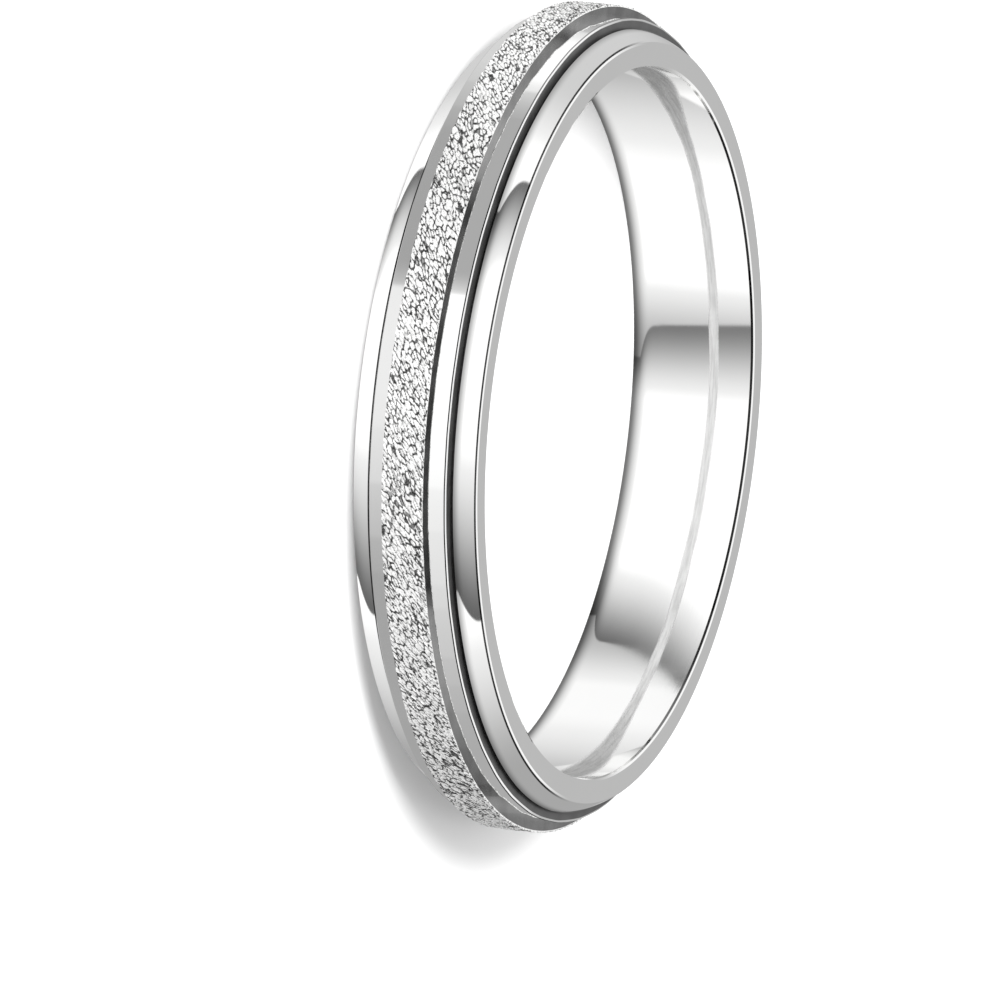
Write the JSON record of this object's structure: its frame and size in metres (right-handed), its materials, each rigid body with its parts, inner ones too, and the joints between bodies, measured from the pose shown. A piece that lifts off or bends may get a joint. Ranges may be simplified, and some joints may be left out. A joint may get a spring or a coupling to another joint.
{
  "type": "spinner ring",
  "caption": "Slim silver finger ring with crowned rims and a loose spinner band that turns between them, its raised strip frosted.",
  "frame": {"origin": "centre of the lower end face's plane, on the finger hole's axis, with the ring lying on its side", "axes": "+Z along the finger hole's axis, up; X and Y across the ring, which is round, so they are free"},
  "size_m": [0.021, 0.021, 0.0033],
  "materials": {
    "polished_silver": "mirror polished sterling silver",
    "frosted_silver": "polished shoulders with a frosted, sparkling strip"
  },
  "bodies": {
    "band": {"inner_band": "polished_silver"},
    "spinner": {"spinner_band": "frosted_silver"}
  },
  "joints": [
    {"name": "spinner_spin", "type": "hinge", "parent": "band", "child": "spinner", "pos_m": [0, 0, 0.00168], "axis": [0, 0, 1], "continuous": true}
  ]
}
